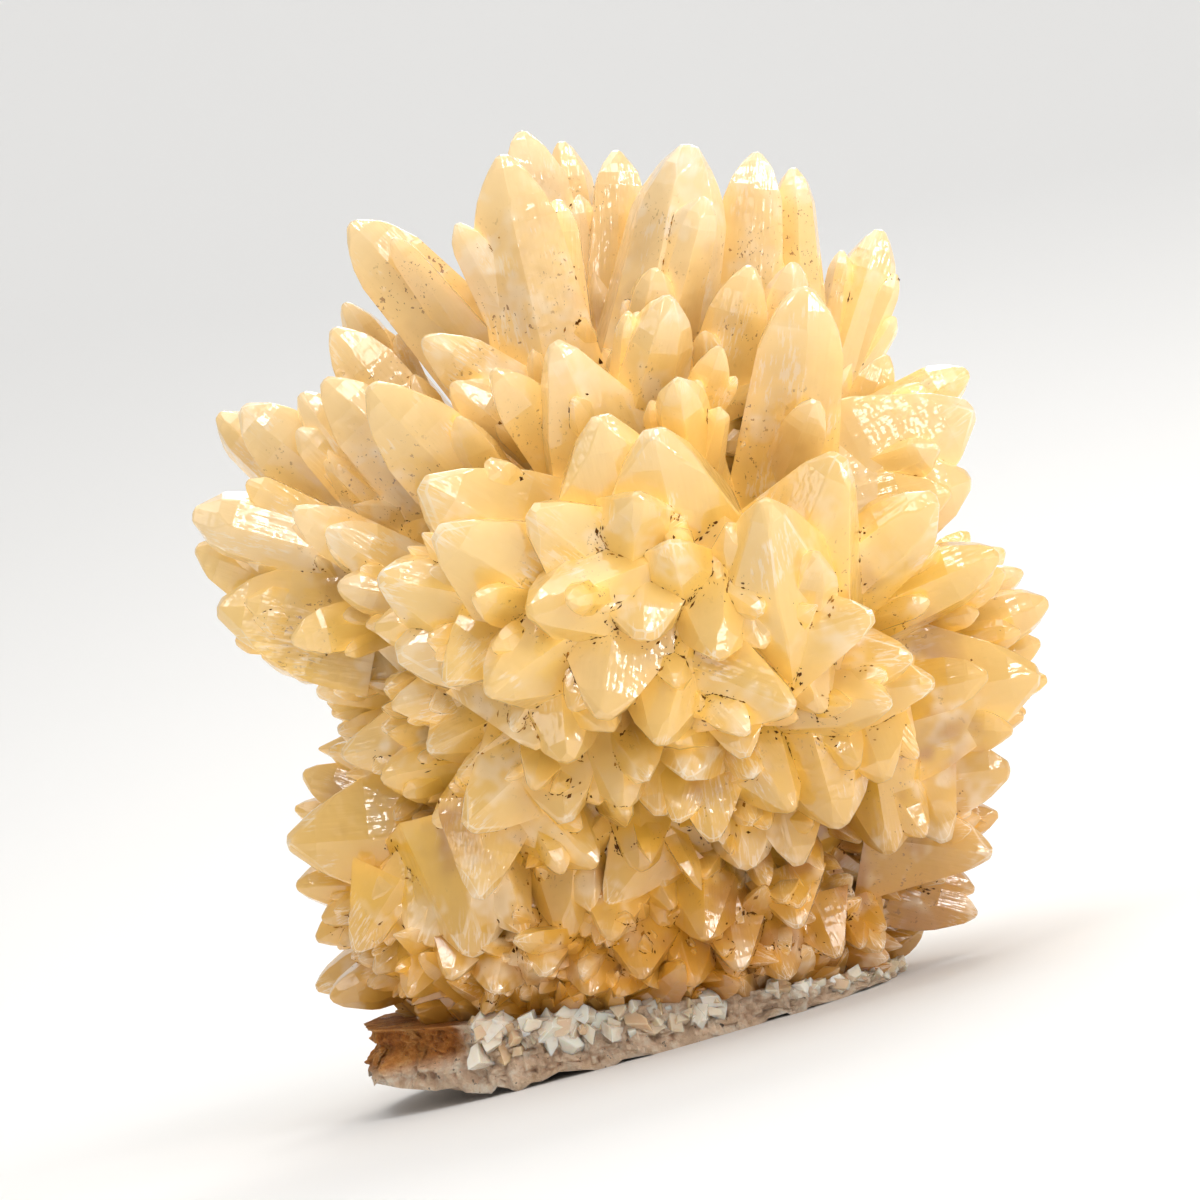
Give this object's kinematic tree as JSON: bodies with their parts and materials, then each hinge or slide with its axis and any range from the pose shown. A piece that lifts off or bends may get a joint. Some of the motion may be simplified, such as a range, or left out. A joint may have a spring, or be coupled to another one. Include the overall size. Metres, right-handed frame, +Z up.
{
  "type": "dogtooth calcite cluster on matrix",
  "caption": "Hand-sized cluster of honey-coloured dogtooth calcite crystals that fan out from a rounded core, on a thin wedge of pale rock that it rests on.",
  "frame": {"origin": "on the ground under the middle of the specimen's box, in the plane of the rock's flat foot", "axes": "+Z up as it rests, +X to the right and +Y to the rear as seen from the side that the picture shows"},
  "size_m": [0.0504, 0.0428, 0.0574],
  "materials": {
    "honey_calcite": "waxy, translucent crystal faces",
    "pale_rock": "dull, rough, broken rock"
  },
  "bodies": {
    "root": {"calcite_crystals": "honey_calcite", "matrix_wedge": "pale_rock"}
  },
  "joints": []
}
